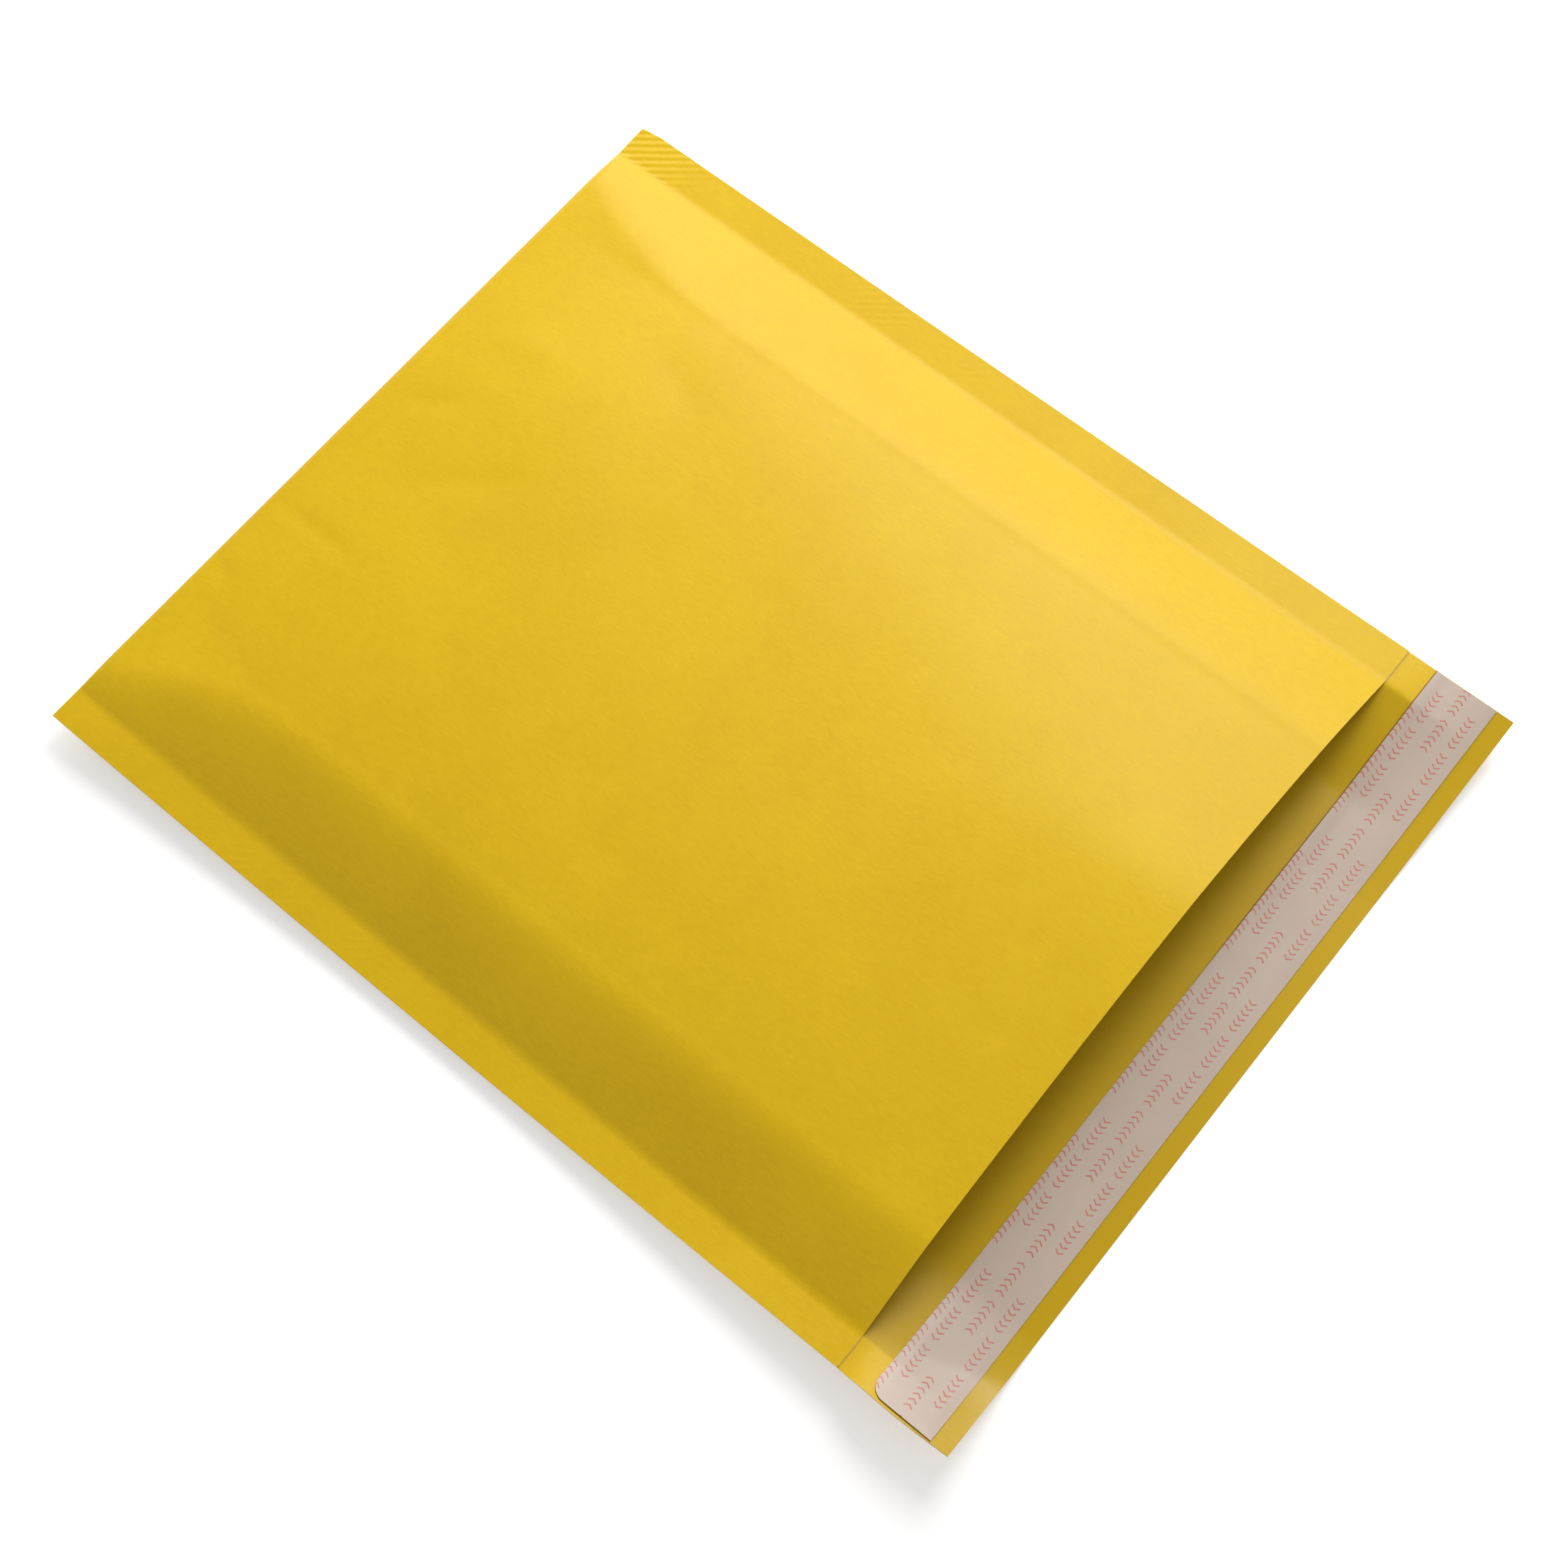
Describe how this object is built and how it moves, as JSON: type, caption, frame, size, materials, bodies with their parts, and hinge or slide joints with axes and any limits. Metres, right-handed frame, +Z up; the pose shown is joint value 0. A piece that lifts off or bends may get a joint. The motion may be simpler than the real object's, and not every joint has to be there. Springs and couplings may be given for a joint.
{
  "type": "bubble mailer",
  "caption": "Padded paper mailing envelope lying on its back, with a folded closed end, fused side seams, a bubble film lining, an open mouth and a peel-and-seal flap.",
  "frame": {"origin": "middle of the footprint, on the surface that the mailer lies on", "axes": "+X across the width, +Y along the length towards the folded closed end, so the mouth and the flap are at -Y, and +Z up out of the front panel"},
  "size_m": [0.184, 0.228, 0.0153],
  "materials": {
    "kraft_paper": "golden dyed kraft, matt with a faint satin sheen",
    "bubble_film": "clear polyethylene bubble film",
    "hot_melt_adhesive": "tacky, glossy, pale amber",
    "release_paper": "silicone coated, smooth satin, printed with small pale red marks"
  },
  "bodies": {
    "root": {"kraft_envelope": "kraft_paper", "bubble_lining": "bubble_film", "adhesive_strip": "hot_melt_adhesive", "release_liner": "release_paper"}
  },
  "joints": []
}
